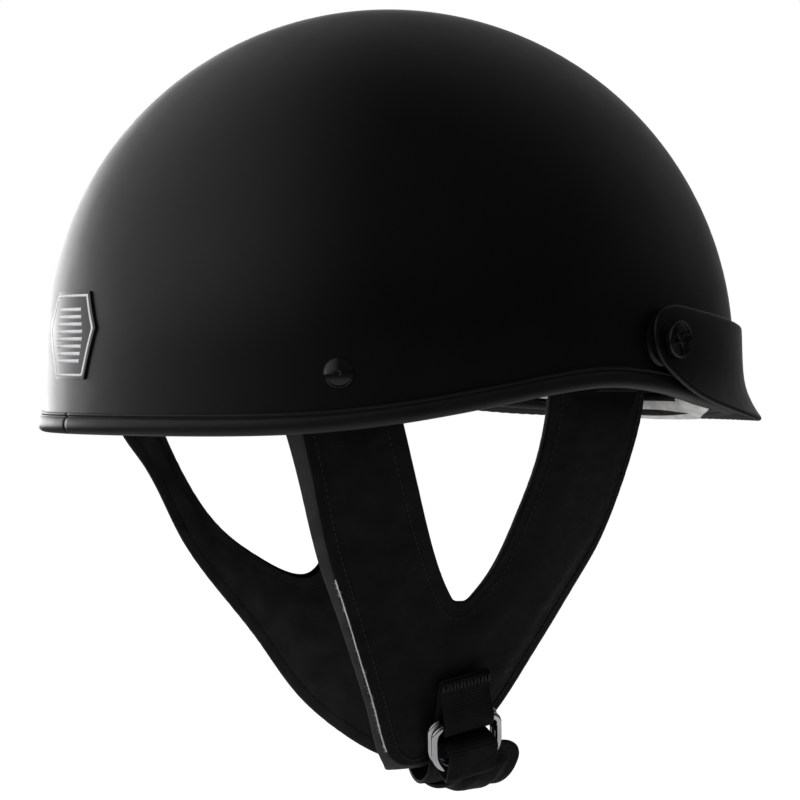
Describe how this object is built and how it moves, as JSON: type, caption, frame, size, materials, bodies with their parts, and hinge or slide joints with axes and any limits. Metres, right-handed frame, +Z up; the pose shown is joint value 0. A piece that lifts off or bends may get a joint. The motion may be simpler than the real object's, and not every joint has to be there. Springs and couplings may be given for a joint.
{
  "type": "half shell motorcycle helmet",
  "caption": "Half shell helmet with a curved dome, rubber edge trim, a short tilting peak on side screws, padded V straps and a double ring chin buckle.",
  "frame": {"origin": "middle of the head opening, at the height of the rim's lowest point", "axes": "+X to the wearer's left, +Y to the rear, +Z up to the crown"},
  "size_m": [0.2354, 0.283, 0.2968],
  "materials": {
    "shell_black": "smooth satin black",
    "trim_rubber": "satin black extruded rubber",
    "liner_foam": "matte black moulded bead foam",
    "pad_mesh": "dark spacer mesh with a chevron weave",
    "hook_disc": "matte hook fastener",
    "skirt_fabric": "off-white brushed fabric",
    "badge": "gloss black, bare",
    "gloss_metal": "gloss black",
    "plate_steel": "zinc plated",
    "boss_plastic": "gloss black",
    "visor_black": "satin black",
    "webbing": "ribbed black webbing",
    "thread": "black sewing thread",
    "strap_fabric": "satin black padded cloth",
    "lining_cloth": "black satin lining cloth",
    "ring_steel": "nickel plated steel wire"
  },
  "bodies": {
    "helmet": {"brow_pad": "pad_mesh", "chin_tongue": "strap_fabric", "chin_webbing": "webbing", "crown_pad": "pad_mesh", "edge_trim": "trim_rubber", "front_anchor_plates": "plate_steel", "front_liner_skirt": "skirt_fabric", "impact_liner": "liner_foam", "left_front_strap_hanger": "webbing", "left_liner_skirt": "skirt_fabric", "left_rear_strap_hanger": "webbing", "left_side_pad": "pad_mesh", "left_strap_cover": "strap_fabric", "left_strap_lining": "lining_cloth", "left_strap_webbing": "webbing", "loop_bar_tack": "thread", "nape_pad": "pad_mesh", "outer_shell": "shell_black", "pad_hook_discs": "hook_disc", "rear_anchor_plates": "plate_steel", "rear_badge": "badge", "rear_liner_skirt": "skirt_fabric", "right_front_strap_hanger": "webbing", "right_liner_skirt": "skirt_fabric", "right_rear_strap_hanger": "webbing", "right_side_pad": "pad_mesh", "right_strap_cover": "strap_fabric", "right_strap_lining": "lining_cloth", "right_strap_webbing": "webbing", "ring_loop_webbing": "webbing", "strap_rivets": "gloss_metal", "visor_bosses": "boss_plastic", "visor_posts": "plate_steel"},
    "visor": {"visor": "visor_black"},
    "right_screw": {"right_visor_screw": "gloss_metal"},
    "left_screw": {"left_visor_screw": "gloss_metal"},
    "inner_ring": {"inner_d_ring": "ring_steel"},
    "outer_ring": {"outer_d_ring": "ring_steel"}
  },
  "joints": [
    {"name": "visor_tilt", "type": "hinge", "parent": "helmet", "child": "visor", "pos_m": [0, -0.0455, 0.0335], "axis": [-1, 0, 0], "range_deg": [-0.8, 7]},
    {"name": "right_screw_turn", "type": "hinge", "parent": "helmet", "child": "right_screw", "pos_m": [-0.1073, -0.0455, 0.0335], "axis": [-0.9578, -0.2875, 0], "continuous": true},
    {"name": "left_screw_turn", "type": "hinge", "parent": "helmet", "child": "left_screw", "pos_m": [0.1073, -0.0455, 0.0335], "axis": [0.9578, -0.2875, 0], "continuous": true},
    {"name": "inner_ring_swing", "type": "hinge", "parent": "helmet", "child": "inner_ring", "pos_m": [-0.03408, -0.0085, -0.10569], "axis": [0.1514, 0.9659, -0.2099], "range_deg": [-5, 0]},
    {"name": "outer_ring_swing", "type": "hinge", "parent": "helmet", "child": "outer_ring", "pos_m": [-0.03668, -0.0085, -0.10756], "axis": [0.1514, 0.9659, -0.2099], "range_deg": [0, 4]}
  ]
}
